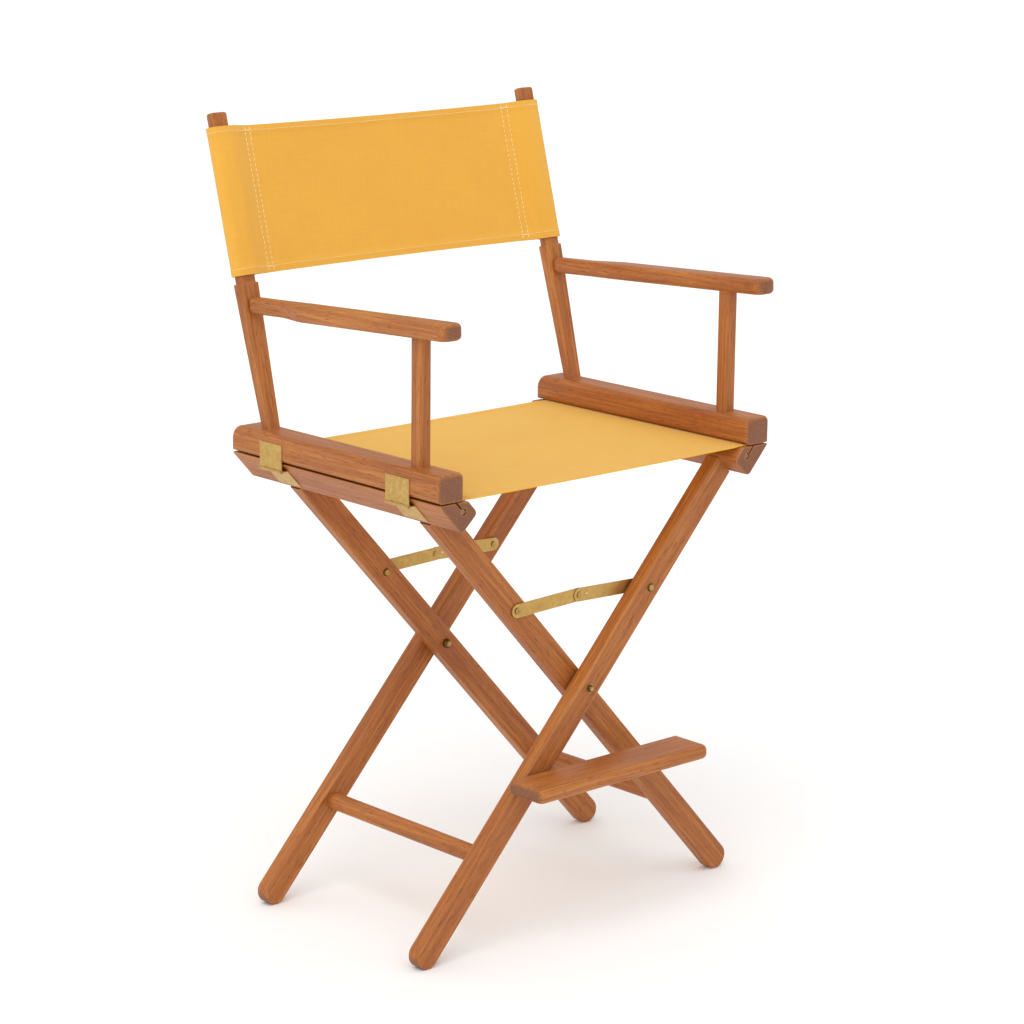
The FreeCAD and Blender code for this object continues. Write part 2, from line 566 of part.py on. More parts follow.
# ---- side frames ------------------------------------------------------------------------
rake = math.radians(V.post_rake)
for side in ("left", "right"):
    sign = 1 if side == "right" else -1
    length = V.rail_front + V.rail_rear
    low_z = V.seat_top - V.upper_rail_t
    rail = prism(f"upper_rail_{side}", "YZ_Plane",
                 [("-rail_front", low_z), ("rail_rear", low_z), ("rail_rear", "seat_top"),
                  ("-rail_front", "seat_top")], sign * V.rail_mid_x - V.upper_rail_w / 2,
                 "upper_rail_w")
    fillet(rail, "rail_corner_rear",
           lambda p, q: crosswise(p, q) and p.y > 0 and p.z > V.seat_top - 1)
    fillet(rail, "rail_corner_front",
           lambda p, q: crosswise(p, q) and p.y < 0 and p.z > V.seat_top - 1)
    fillet(rail, "rail_round", lambda p, q: not crosswise(p, q))

    x = sign * V.post_x
    arm_tilt = Rotation(X, -V.arm_slope)
    arm_frame = Placement(Vector(x, -V.front_post_y, V.arm_under), arm_tilt)
    wide_in, wide_out = V.arm_wide_in, V.arm_wide_out
    half = V.arm_narrow / 2
    post_face = V.back_post_y + (V.arm_under - V.seat_top) * math.tan(rake) \
        - V.back_post_depth / 2 / math.cos(rake)
    tail = post_face + V.front_post_y
    rear, fore = V.arm_flare_rear + V.front_post_y, V.arm_flare_front + V.front_post_y
    nose = V.front_post_y - V.arm_front
    edge = [(sign * half, tail), (sign * half, rear), (sign * wide_out, fore),
            (sign * wide_out, nose), (-sign * wide_in, nose), (-sign * wide_in, fore),
            (-sign * half, rear), (-sign * half, tail)]
    arm = prism(f"arm_{side}", "XY_Plane", edge, 0, "arm_t", arm_frame)
    fillet(arm, "arm_nose", lambda p, q: upright(p, q) and p.y < nose + 1)
    fillet(arm, "arm_tail", lambda p, q: upright(p, q) and p.y > tail - 1)
    fillet(arm, 40, lambda p, q: upright(p, q) and (abs(p.y - rear) < 1 or abs(p.y - fore) < 1))
    fillet(arm, "arm_round", lambda p, q: not upright(p, q))

    post = prism(f"front_post_{side}", "XY_Plane",
                 [("-front_post_w/2", "-front_post_w/2"), ("front_post_w/2", "-front_post_w/2"),
                  ("front_post_w/2", "front_post_w/2"), ("-front_post_w/2", "front_post_w/2")],
                 0, V.arm_under - V.seat_top + 6, at(x, -V.front_post_y, V.seat_top))
    fillet(post, "post_round", upright)
    front_post = cut(f"front_post_{side}", post, [arm])

    raked = Placement(Vector(x, V.back_post_y, V.seat_top), Rotation(X, -V.post_rake))
    lower = prism(f"back_post_{side}", "XZ_Plane",
                  [("-back_post_foot/2", -8), ("back_post_foot/2", -8),
                   ("back_post_shoulder/2", "post_foot_l"),
                   ("-back_post_shoulder/2", "post_foot_l")], "-back_post_depth/2",
                  "back_post_depth", raked)
    fillet(lower, "post_round", upright)
    fillet(lower, 1.5, lambda p, q: min(p.z, q.z) > V.post_foot_l - 0.01)
    upper = prism(f"back_post_{side}", "XY_Plane",
                  [("-post_top_w/2", "-post_top_d/2"), ("post_top_w/2", "-post_top_d/2"),
                   ("post_top_w/2", "post_top_d/2"), ("-post_top_w/2", "post_top_d/2")],
                  V.post_foot_l - 10, V.post_all_l - V.post_foot_l + 10, raked)
    fillet(upper, "post_top_round", upright)
    fillet(upper, 3, lambda p, q: min(p.z, q.z) > V.post_all_l - 0.01)
    back_post = cut(f"back_post_{side}", fuse(f"back_post_{side}", [lower, upper]), [rail])

    dowels = [rod("dowel", "dowel_r", "dowel_l",
                  (x, -V.front_post_y, V.seat_top - V.dowel_l / 2), Z),
              rod("dowel", "dowel_r", V.dowel_l / 2 + 12,
                  (x, -V.front_post_y, V.arm_under - V.dowel_l / 2), Z),
              rod("dowel", "dowel_r", "dowel_l", (0, 0, -V.dowel_l / 2), Z, raked)]
    dowels = part(f"post_dowels_{side}", *dowels)
    # The screw runs forward through the raked post into the arm's tail, head sunk flush.
    screw_z = V.arm_under + V.arm_t / 2 - tail * math.tan(math.radians(V.arm_slope))
    along = (screw_z - V.seat_top) / math.cos(rake) - V.back_post_depth / 2 * math.tan(rake)
    screw = part(f"arm_screw_{side}", turned(
        "arm_screw", [(0, 0), (4.5, 0), (2, 2.5), (2, 44), (0, 47)],
        raked.multiply(at(0, V.back_post_depth / 2, along, -Y))))
    part(f"upper_rail_{side}", cut(f"upper_rail_{side}", rail,
                                   [dowels, hinge_screws["upper", side]]))
    part(f"front_post_{side}", cut(f"front_post_{side}", front_post, [dowels]))
    part(f"back_post_{side}", cut(f"back_post_{side}", back_post, [dowels, screw]))
    part(f"arm_{side}", cut(f"arm_{side}", arm, [back_post, dowels, screw]))

    # Back canvas sleeve: a flat loop round the post's reduced top.
    shift = sign * (V.sleeve_x - V.post_x)
    loops = []
    for inset in (0, V.canvas_t):
        wide, deep = V.sleeve_half_w - inset, V.sleeve_half_d - inset
        loop = prism("loop", "XY_Plane",
                     [(shift - wide, -deep), (shift + wide, -deep), (shift + wide, deep),
                      (shift - wide, deep)], V.back_lo - inset, V.back_l + 2 * inset, raked)
        fillet(loop, 8 - inset, upright)
        loops.append(loop)
    part(f"back_sleeve_{side}", cut(f"back_sleeve_{side}", loops[0], [loops[1]]))
    centre = Placement(Vector(0, V.back_post_y, V.seat_top), Rotation(X, -V.post_rake))
    part(f"back_canvas_{side}",
         box(f"back_canvas_{side}", ("back_half", "canvas_t", "back_l"),
             (0 if sign > 0 else -V.back_half, -V.canvas_t / 2, V.back_lo), centre))
    # Seat canvas: a half that lies between the rails, and the hem down the slot to its dowel.
    cloth_z = V.cloth_mid - V.canvas_t / 2
    depth = V.seat_front + V.seat_rear
    part(f"seat_canvas_{side}",
         box(f"seat_canvas_{side}", ("seat_hinge_x", depth, "canvas_t"),
             (0 if sign > 0 else -V.seat_hinge_x, -V.seat_front, cloth_z)))
    frame = OUTER if sign > 0 else INNER
    first = -V.seat_front if sign > 0 else -V.seat_rear
    rise = V.cloth_mid + V.canvas_t / 2 - V.pivot_height
    top_s = (rise - V.slot_n * math.cos(angle)) / math.sin(angle)
    hem_w = 2 * V.canvas_t - 0.2
    mouth_x = top_s * math.cos(angle) - V.slot_n * math.sin(angle)
    flat = box("hem", (mouth_x - V.seat_hinge_x, depth, "canvas_t"),
               (V.seat_hinge_x if sign > 0 else -mouth_x, -V.seat_front, cloth_z))
    drop = box("hem", (top_s - V.slot_foot - 1.6, depth, hem_w),
               (V.slot_foot, first, V.slot_n - hem_w / 2), frame)
    loop = solid("Part::Cylinder", "hem", frame.multiply(at(V.slot_foot, first, V.slot_n, Y)),
                 Radius=V.bore_r - 0.2, Height=depth)
    part(f"seat_hem_{side}", cut("hem", fuse("hem", [flat, drop, loop]), [rod(
        "hem_hole", "seat_dowel_r", depth + 2, (V.slot_foot, first - 1, V.slot_n), Y, frame)]))

doc.recompute()
for thing in doc.Objects:
    if {"Invalid", "Error"} & set(thing.State):
        raise RuntimeError(f"{thing.Name} of {[o.Label for o in thing.InList]} failed")
whole = FreeCAD.BoundBox()
for thing in PARTS:
    shape = thing.Shape
    if shape.isNull() or not shape.isValid() or not shape.Solids:
        raise RuntimeError(f"{thing.Label} has no sound solid")
    whole.add(shape.optimalBoundingBox(False))
# The origin goes to the floor, midway between the footrest's front and the back's rear.
os.makedirs("parts", exist_ok=True)
for thing in PARTS:
    thing.Placement.Base = thing.Placement.Base - Vector(0, whole.Center.y, 0)
    thing.Shape.exportStep(f"parts/{thing.Label}.step")
print(len(PARTS), whole, "shift", whole.Center.y)
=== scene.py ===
import math
import bmesh
import bpy
from mathutils import Matrix, Vector


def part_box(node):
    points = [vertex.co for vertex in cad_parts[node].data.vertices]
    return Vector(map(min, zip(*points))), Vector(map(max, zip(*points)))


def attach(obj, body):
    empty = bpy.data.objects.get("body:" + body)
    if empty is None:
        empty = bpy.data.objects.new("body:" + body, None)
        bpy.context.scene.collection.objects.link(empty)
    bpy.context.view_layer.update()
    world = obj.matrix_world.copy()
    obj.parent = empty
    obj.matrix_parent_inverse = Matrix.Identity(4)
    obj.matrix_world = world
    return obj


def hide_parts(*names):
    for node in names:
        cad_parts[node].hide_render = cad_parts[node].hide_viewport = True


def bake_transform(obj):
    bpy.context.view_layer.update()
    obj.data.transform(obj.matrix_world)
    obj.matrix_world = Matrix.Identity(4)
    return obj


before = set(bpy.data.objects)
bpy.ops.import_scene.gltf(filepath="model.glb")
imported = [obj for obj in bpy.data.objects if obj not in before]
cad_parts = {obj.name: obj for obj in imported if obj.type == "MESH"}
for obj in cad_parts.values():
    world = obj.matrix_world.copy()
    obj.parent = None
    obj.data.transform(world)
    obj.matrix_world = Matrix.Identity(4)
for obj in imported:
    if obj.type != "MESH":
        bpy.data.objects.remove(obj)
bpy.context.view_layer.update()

SIDES = (("left", -1), ("right", 1))
FACES = (("front", -1), ("rear", 1))
LEG = math.radians(47.6)    # how steeply the legs rise from the floor
LEAN = math.radians(15.5)   # how far the back posts lean back from upright

# ---- finishes ---------------------------------------------------------------------------
# A pattern's scale is how many times it repeats in a metre: 1000 over its size in mm.
COVER = {"data_type": "RGBA", "blend_type": "MIX"}
STAIN = {"data_type": "RGBA", "blend_type": "MULTIPLY"}
# Under this one, #BCBCBC leaves a colour as it is, and a paler or darker grey lifts or sinks it.
SHADE = {"data_type": "RGBA", "blend_type": "SOFT_LIGHT"}


def linear(code):
    """An sRGB hex colour as linear RGBA."""
    parts = [int(code[i:i + 2], 16) / 255 for i in (1, 3, 5)]
    return (*[c / 12.92 if c <= 0.04045 else ((c + 0.055) / 1.055) ** 2.4 for c in parts], 1.0)


def node(tree, kind, settings=None, stops=(), **links):
    """Add a node: settings are its properties, stops a colour ramp's (place, colour) pairs.

    links are its inputs' values or source sockets, by name, or by i and the input's number.
    """
    made = tree.nodes.new(kind)
    for name, value in (settings or {}).items():
        setattr(made, name, value)
    for _ in stops[2:]:
        made.color_ramp.elements.new(0.5)
    for index, (place, colour) in enumerate(stops):
        made.color_ramp.elements[index].position = place
        made.color_ramp.elements[index].color = linear(colour)
    for name, value in links.items():
        by_number = name[0] == "i" and name[1:].isdigit()
        socket = made.inputs[int(name[1:]) if by_number else name.replace("_", " ")]
        if isinstance(value, bpy.types.NodeSocket):
            tree.links.new(value, socket)
        else:
            socket.default_value = value
    return made


def new_material(name):
    material = bpy.data.materials.new(name)
    material.use_nodes = True
    material.node_tree.nodes.clear()
    return material, material.node_tree


def edge_wear_and_highlight(tree, reach, start, full, most):
    """How worn a point is, and how strong the painted highlight on it, up to most, by how far the
    faces within reach of it turn away.
    """
    soft = node(tree, "ShaderNodeBevel", {"samples": 4}, Radius=reach).outputs[0]
    sharp = node(tree, "ShaderNodeNewGeometry").outputs["Normal"]
    turned = node(tree, "ShaderNodeVectorMath", {"operation": "DOT_PRODUCT"}, i0=soft,
                  i1=sharp).outputs["Value"]
    return node(tree, "ShaderNodeMapRange", Value=turned, From_Min=start, From_Max=full,
                To_Max=most).outputs[0]


def sanded_wood(name, turn, board, light, mid, dark, rubbed_and_highlight):
    """Acacia, sawn, sanded and hand oiled: close straight grain, short dark pores, satin film.

    Ramin, sanded and left bare, has the same grain and is much paler. turn takes X to the
    board's length, and each board's number cuts it from another place in the log.
    """
    material, tree = new_material(name)
    coords = node(tree, "ShaderNodeTexCoord")
    along = node(tree, "ShaderNodeMapping", {"vector_type": "TEXTURE"}, Rotation=turn,
                 Vector=coords.outputs["Object"],
                 Location=(0.31 * board, 0.17 * board, 0.23 * board)).outputs[0]
    # Growth bands lie 5 mm apart and run on for about 200 mm.
    place = node(tree, "ShaderNodeMapping", Vector=along, Scale=(4.8, 200, 200)).outputs[0]
    bands = node(tree, "ShaderNodeTexNoise", Vector=place, Scale=1.0, Detail=5.0,
                 Roughness=0.55, Distortion=0.6).outputs["Fac"]
    # Fibres are 0.05 mm wide, too fine to show, so they are drawn 1.6 mm wide and 75 mm long.
    place = node(tree, "ShaderNodeMapping", Vector=along, Scale=(13.5, 630, 630)).outputs[0]
    fibres = node(tree, "ShaderNodeTexNoise", Vector=place, Scale=1.0, Detail=4.0,
                  Roughness=0.65).outputs["Fac"]
    # Open pores are streaks 0.4 mm wide and 7 mm long, one in each 0.8 mm by 14 mm.
    place = node(tree, "ShaderNodeMapping", Vector=along, Scale=(70, 1250, 1250)).outputs[0]
    pores = node(tree, "ShaderNodeTexNoise", Vector=place, Scale=1.0, Detail=2.0).outputs["Fac"]
    # The wood's colour drifts over patches 55 mm across and 220 mm long.
    place = node(tree, "ShaderNodeMapping", Vector=along, Scale=(4.55, 18.2, 18.2)).outputs[0]
    patches = node(tree, "ShaderNodeTexNoise", Vector=place, Scale=1.0, Detail=3.0)
    base = node(tree, "ShaderNodeValToRGB", Fac=bands, stops=[
        (0.28, dark), (0.45, mid), (0.64, light), (0.85, mid)]).outputs[0]
    tone = node(tree, "ShaderNodeValToRGB", Fac=fibres, stops=[
        (0.30, "#7C746C"), (0.70, "#ECECEC")]).outputs[0]
    base = node(tree, "ShaderNodeMix", SHADE, i0=0.5, i6=base, i7=tone).outputs[2]
    tone = node(tree, "ShaderNodeValToRGB", Fac=patches.outputs["Fac"], stops=[
        (0.3, "#A09890"), (0.7, "#D2CEC8")]).outputs[0]
    base = node(tree, "ShaderNodeMix", SHADE, i0=0.7, i6=base, i7=tone).outputs[2]
    streaks = node(tree, "ShaderNodeValToRGB", Fac=pores, stops=[
        (0.28, "#FFFFFF"), (0.40, "#000000")]).outputs[0]
    base = node(tree, "ShaderNodeMix", STAIN, i0=streaks, i6=base,
                i7=linear("#A87858")).outputs[2]
    # End grain drinks more oil and goes darker, speckled with vessels 1.1 mm apart.
    facing = node(tree, "ShaderNodeMapping", {"vector_type": "TEXTURE"}, Rotation=turn,
                  Vector=coords.outputs["Normal"]).outputs[0]
    facing = node(tree, "ShaderNodeSeparateXYZ", Vector=facing).outputs["X"]
    facing = node(tree, "ShaderNodeMath", {"operation": "ABSOLUTE"}, i0=facing).outputs[0]
    ends = node(tree, "ShaderNodeMapRange", Value=facing, From_Min=0.55, From_Max=0.95,
                To_Max=0.85).outputs[0]
    vessels = node(tree, "ShaderNodeTexNoise", Vector=along, Scale=900.0, Detail=2.0)
    end_grain = node(tree, "ShaderNodeValToRGB", Fac=vessels.outputs["Fac"], stops=[
        (0.3, "#5E3A28"), (0.7, "#8C5C42")]).outputs[0]
    base = node(tree, "ShaderNodeMix", COVER, i0=ends, i6=base, i7=end_grain).outputs[2]
    # Handled edges, 2 mm round, are rubbed a little paler, and the paler colour also paints a
    # highlight along them.
    wear_and_highlight = edge_wear_and_highlight(tree, 0.0022, 1.0, 0.93, 0.45)
    base = node(tree, "ShaderNodeMix", COVER, i0=wear_and_highlight, i6=base, i7=linear(rubbed_and_highlight)).outputs[2]
    rough = node(tree, "ShaderNodeMapRange", Value=fibres, To_Min=0.40, To_Max=0.58).outputs[0]
    height = node(tree, "ShaderNodeMath", {"operation": "MULTIPLY_ADD"}, i0=pores, i1=0.6,
                  i2=fibres).outputs[0]
    bump = node(tree, "ShaderNodeBump", Height=height, Strength=0.22, Distance=0.0004)
    shader = node(tree, "ShaderNodeBsdfPrincipled", Base_Color=base, Roughness=rough,
                  Normal=bump.outputs[0], IOR=1.5, Specular_IOR_Level=0.32, Coat_Weight=0.04,
                  Coat_Roughness=0.3)
    node(tree, "ShaderNodeOutputMaterial", Surface=shader.outputs[0])
    return material


def bare_brass(name, dull, mid, bright, rubbed_and_highlight, rough, shaded_rim=None):
    """Brass, left bare: a dull yellow, browner in patches, brighter on its rubbed edges, where a
    highlight is also painted.

    Strip for hinges and stays is rolled, and satin. Heads are turned, so they shine, and with a rim
    colour each dome's edge is darkened as painted shade: they all face front or rear.
    """
    material, tree = new_material(name)
    coords = node(tree, "ShaderNodeTexCoord")
    # Rolling marks are 0.3 mm apart, too fine to show: drawn 1.4 mm apart and 17 mm long.
    place = node(tree, "ShaderNodeMapping", Vector=coords.outputs["Object"],
                 Scale=(60, 700, 700)).outputs[0]
    marks = node(tree, "ShaderNodeTexNoise", Vector=place, Scale=1.0, Detail=3.0).outputs["Fac"]
    # Tarnish comes in patches of 7 mm.
    tarnish = node(tree, "ShaderNodeTexNoise", Vector=coords.outputs["Object"], Scale=140.0,
                   Detail=4.0, Roughness=0.6).outputs["Fac"]
    base = node(tree, "ShaderNodeValToRGB", Fac=tarnish, stops=[
        (0.25, dull), (0.50, mid), (0.75, bright)]).outputs[0]
    tone = node(tree, "ShaderNodeValToRGB", Fac=marks, stops=[
        (0.3, "#ACACAC"), (0.7, "#CCCCCC")]).outputs[0]
    base = node(tree, "ShaderNodeMix", SHADE, i0=0.4, i6=base, i7=tone).outputs[2]
    # Edges 1 mm round are rubbed bright, and the bright colour also paints a highlight along them.
    wear_and_highlight = edge_wear_and_highlight(tree, 0.0009, 0.99, 0.80, 0.6)
    base = node(tree, "ShaderNodeMix", COVER, i0=wear_and_highlight, i6=base, i7=linear(rubbed_and_highlight)).outputs[2]
    # Painted shade: where a head's surface turns away from front or rear, it is darkened towards
    # the rim colour.
    if shaded_rim:
        facing = node(tree, "ShaderNodeSeparateXYZ", Vector=coords.outputs["Normal"])
        facing = node(tree, "ShaderNodeMath", {"operation": "ABSOLUTE"},
                      i0=facing.outputs["Y"]).outputs[0]
        side = node(tree, "ShaderNodeMapRange", Value=facing, From_Min=0.80, From_Max=0.97,
                    To_Min=0.85, To_Max=0.0).outputs[0]
        base = node(tree, "ShaderNodeMix", COVER, i0=side, i6=base, i7=linear(shaded_rim)).outputs[2]
    rough = node(tree, "ShaderNodeMapRange", Value=marks, To_Min=rough - 0.08,
                 To_Max=rough + 0.10).outputs[0]
    bump = node(tree, "ShaderNodeBump", Height=marks, Strength=0.15, Distance=0.0002)
    shader = node(tree, "ShaderNodeBsdfPrincipled", Base_Color=base, Roughness=rough,
                  Normal=bump.outputs[0], Metallic=0.85)
    node(tree, "ShaderNodeOutputMaterial", Surface=shader.outputs[0])
    return material


def dyed_duck(name, dye):
    """Cotton duck, plain woven and dyed: matt, with a faint nap, slubby threads and some fading."""
    material, tree = new_material(name)
    # The cloth's own UVs are its flat size in metres.
    cloth = node(tree, "ShaderNodeUVMap", {"uv_map": "cloth"}).outputs[0]
    # Threads are 0.5 mm apart, too fine to show, so the weave is drawn at 1.1 mm.
    apart = 0.0011
    split = node(tree, "ShaderNodeSeparateXYZ", Vector=cloth)
    waves = []
    for axis in ("X", "Y"):
        turns = node(tree, "ShaderNodeMath", {"operation": "MULTIPLY"},
                     i0=split.outputs[axis], i1=math.pi / apart).outputs[0]
        waves.append(node(tree, "ShaderNodeMath", {"operation": "SINE"}, i0=turns).outputs[0])
    weave = node(tree, "ShaderNodeMath", {"operation": "MULTIPLY"}, i0=waves[0],
                 i1=waves[1]).outputs[0]
    weave = node(tree, "ShaderNodeMath", {"operation": "MULTIPLY_ADD"}, i0=weave, i1=0.5,
                 i2=0.5).outputs[0]
    # Slubs are a thread or two wide, 1.1 mm as drawn, and 38 mm long, both ways of the cloth.
    slubs = []
    for scale in ((26, 900, 1), (900, 26, 1)):
        place = node(tree, "ShaderNodeMapping", Vector=cloth, Scale=scale).outputs[0]
        slubs.append(node(tree, "ShaderNodeTexNoise", Vector=place, Scale=1.0).outputs["Fac"])
    slub = node(tree, "ShaderNodeMath", {"operation": "ADD"}, i0=slubs[0], i1=slubs[1])
    slub = node(tree, "ShaderNodeMath", {"operation": "MULTIPLY"}, i0=slub.outputs[0],
                i1=0.5).outputs[0]
    # The dye has faded unevenly, over patches of 110 mm.
    fade = node(tree, "ShaderNodeTexNoise", Vector=cloth, Scale=9.0, Detail=4.0,
                Roughness=0.5).outputs["Fac"]
    tone = node(tree, "ShaderNodeValToRGB", Fac=fade, stops=[
        (0.3, "#B0B0B0"), (0.7, "#C8C8C8")]).outputs[0]
    base = node(tree, "ShaderNodeMix", SHADE, i0=0.35, i6=linear(dye), i7=tone).outputs[2]
    tone = node(tree, "ShaderNodeValToRGB", Fac=slub, stops=[
        (0.3, "#A4A4A4"), (0.7, "#D2D2D2")]).outputs[0]
    base = node(tree, "ShaderNodeMix", SHADE, i0=0.5, i6=base, i7=tone).outputs[2]
    tone = node(tree, "ShaderNodeValToRGB", Fac=weave, stops=[
        (0.0, "#8A8A8A"), (1.0, "#FFFFFF")]).outputs[0]
    base = node(tree, "ShaderNodeMix", STAIN, i0=0.10, i6=base, i7=tone).outputs[2]
    height = node(tree, "ShaderNodeMath", {"operation": "MULTIPLY_ADD"}, i0=slub, i1=0.6,
                  i2=weave).outputs[0]
    bump = node(tree, "ShaderNodeBump", Height=height, Strength=0.30, Distance=0.0003)
    shader = node(tree, "ShaderNodeBsdfPrincipled", Base_Color=base, Normal=bump.outputs[0],
                  Roughness=0.86, Sheen_Weight=0.18, Sheen_Roughness=0.5,
                  Specular_IOR_Level=0.25)
    node(tree, "ShaderNodeOutputMaterial", Surface=shader.outputs[0])
    return material


def bonded_thread(name, colour):
    """Polyester thread, two plies bonded: a slight shine, and paler than the cloth it sews."""
    material, tree = new_material(name)
    coords = node(tree, "ShaderNodeTexCoord").outputs["Object"]
    # The plies cross every 1.1 mm.
    plies = node(tree, "ShaderNodeTexNoise", Vector=coords, Scale=900.0, Detail=2.0)
    base = node(tree, "ShaderNodeValToRGB", Fac=plies.outputs["Fac"], stops=[
        (0.3, "#F4D292"), (0.7, colour)]).outputs[0]
    bump = node(tree, "ShaderNodeBump", Height=plies.outputs["Fac"], Strength=0.4,
                Distance=0.0002)
    shader = node(tree, "ShaderNodeBsdfPrincipled", Base_Color=base, Normal=bump.outputs[0],
                  Roughness=0.55)
    node(tree, "ShaderNodeOutputMaterial", Surface=shader.outputs[0])
    return material


# How each board's grain runs: the turn that takes X to its length.
ALONG_Y, ACROSS, UPRIGHT = (0, 0, math.pi / 2), (0, 0, 0), (0, -math.pi / 2, 0)
RAKED = (0, LEAN - math.pi / 2, math.pi / 2)
OUTER, INNER = (0, -LEG, 0), (0, LEG - math.pi, 0)
GRAIN = {
    "leg_front_outer": OUTER, "leg_rear_outer": OUTER, "leg_front_inner": INNER,
    "leg_rear_inner": INNER, "lower_rail": ALONG_Y, "upper_rail": ALONG_Y,
    "arm_left": ALONG_Y, "arm_right": ALONG_Y, "stretcher": ALONG_Y,
    "seat_dowel": ALONG_Y, "front_post": UPRIGHT, "back_post": RAKED,
    "post_dowels": UPRIGHT, "footrest_board": ACROSS}
# Light, middle and dark of the grain, and the edges' colour: rubbed paler, with a painted
# highlight.
ACACIA = ("#B67438", "#A4622E", "#9A5E30", "#CC9058")
RAMIN = ("#EAD6AE", "#DFC698", "#CDAF7E", "#E8D2A8")

strip = bare_brass("rolled_brass_strip", "#B48E4C", "#C29C58", "#CEAA68", "#E2C888", 0.42)
heads = bare_brass("turned_brass_heads", "#94743E", "#B08E50", "#C8A868", "#BC9C60", 0.28,
                   shaded_rim="#4E3616")
for index, (name, thing) in enumerate(sorted(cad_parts.items())):
    turn = next((way for start, way in GRAIN.items() if name.startswith(start)), None)
    if name.startswith(("seat_canvas", "seat_hem", "back_canvas", "back_sleeve")):
        continue
    if name.startswith("seat_dowel"):
        finish = sanded_wood("bare_ramin_" + name, turn, index + 1, *RAMIN)
    elif turn:
        finish = sanded_wood("oiled_acacia_" + name, turn, index + 1, *ACACIA)
    elif name.startswith(("hinge_", "stay_")) and "rivet" not in name:
        finish = strip
    else:
        finish = heads
    for slot in thing.material_slots:
        slot.material = finish

# ---- cloth ------------------------------------------------------------------------------
CLOTH = 0.0013      # the cloth's thickness
HEM = 0.0095        # how deep a folded hem is
FOLDED = 1.45       # a folded hem's thickness, in cloths: pressed flat, it is less than two
seat_low, seat_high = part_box("seat_canvas_left")
SEAT_Y = (seat_low[1], seat_high[1])
SEAT_Z = (seat_low[2] + seat_high[2]) / 2
HINGE_X = -seat_low[0]
back_low, back_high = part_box("back_canvas_left")
BACK_X = -back_low[0]
# The back's own plane: up along the raked posts, and out through the cloth to the rear.
UP = Vector((0, math.sin(LEAN), math.cos(LEAN)))
OUT = Vector((0, math.cos(LEAN), -math.sin(LEAN)))
BACK_FOOT = Vector((0, back_low[1] + CLOTH / 2 * math.cos(LEAN),
                    back_low[2] + CLOTH / 2 * math.sin(LEAN)))
BACK_TALL = (back_high[2] - back_low[2] - CLOTH * math.sin(LEAN)) / math.cos(LEAN)
back_cloth = dyed_duck("cotton_duck_back", "#EBAE42")
seat_cloth = dyed_duck("cotton_duck_seat", "#EAB23E")
thread = bonded_thread("bonded_thread_pale", "#FFF0C4")


def put_in(name, data):
    """Put a mesh, light or camera in the scene."""
    thing = bpy.data.objects.new(name, data)
    bpy.context.scene.collection.objects.link(thing)
    return thing


def steps(start, end, size):
    """Places from start to end, about size apart."""
    count = max(1, round(abs(end - start) / size))
    return [start + (end - start) * i / count for i in range(count + 1)]


def with_hems(low, high, size):
    """Rows of a cloth with a doubled hem at both ends, and a small step off each hem."""
    step = 0.0008
    inside = steps(low + HEM + step, high - HEM - step, size)
    return steps(low, low + HEM, HEM / 2) + inside + steps(high - HEM, high, HEM / 2)


def cut_cloth(name, columns, rows, place, material, thick=CLOTH, hems=()):
    """A cloth on a grid of (distance along, distance up), given its thickness and made final.

    place(u, v) is a point of the cloth's middle, and the UVs are the flat cloth in metres.
    Rows within a hem of the places in hems get the folded hem's extra thickness.
    """
    bm = bmesh.new()
    uv = bm.loops.layers.uv.new("cloth")
    bmesh.ops.create_grid(bm, x_segments=len(columns) - 1, y_segments=len(rows) - 1, size=0.5)
    flat = {}
    for vert in bm.verts:
        i = round((vert.co.x + 0.5) * (len(columns) - 1))
        j = round((vert.co.y + 0.5) * (len(rows) - 1))
        flat[vert.index] = (columns[i], rows[j])
    for face in bm.faces:
        for loop in face.loops:
            loop[uv].uv = flat[loop.vert.index]
    for vert in bm.verts:
        vert.co = place(*flat[vert.index])
    bm.normal_update()
    mesh = bpy.data.meshes.new(name)
    bm.to_mesh(mesh)
    bm.free()
    mesh.polygons.foreach_set("use_smooth", [True] * len(mesh.polygons))
    mesh.materials.append(material)
    piece = put_in(name, mesh)
    depth = piece.vertex_groups.new(name="depth")
    for index, (u, v) in flat.items():
        in_hem = any(abs(v - edge) <= HEM + 0.0001 for edge in hems)
        depth.add([index], 1.0 if in_hem else 1 / FOLDED, "REPLACE")
    body = piece.modifiers.new("body", "SOLIDIFY")
    body.thickness = thick * FOLDED
    body.offset = 0
    body.vertex_group = "depth"
    with bpy.context.temp_override(object=piece, active_object=piece,
                                   selected_objects=[piece]):
        bpy.ops.object.modifier_apply(modifier="body")
    mesh.set_sharp_from_angle(angle=math.radians(40))
    return piece


# ---- back canvas ------------------------------------------------------------------------
# The panel is flat between the side seams. There it parts in two layers: the front one swings
# forward to go round each post, and the rear one comes back from it.
SEAM = 0.205                            # the seams' place, from the chair's middle
DEEP = 0.0098                           # the cloth's middle, before and behind the post's
sleeve_low, sleeve_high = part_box("back_sleeve_right")
POST_X = sleeve_high[0] - 0.0155        # the post's middle
SWING_END = POST_X - 0.006              # where the front layer has come to the post's face


def swing(x):
    """How far along its swing from the panel to the post the cloth is, from 0 to 1."""
    share = min(1.0, max(0.0, (abs(x) - SEAM) / (SWING_END - SEAM)))
    return share * share * (3 - 2 * share)


def front_layer(x):
    return -DEEP * swing(x)


def rear_layer(x):
    """The rear layer lies close behind the front one as far as the sleeve's mouth."""
    return CLOTH * 1.5 + 0.0013 * swing(x) / swing(BACK_X)


def bulge(x, v):
    """The cloth's slack, pushed back by use, most at the middle."""
    inside = max(0.0, 1 - (x / BACK_X) ** 2)
    return 0.003 * inside * math.sin(math.pi * min(1.0, max(0.0, v / BACK_TALL)))


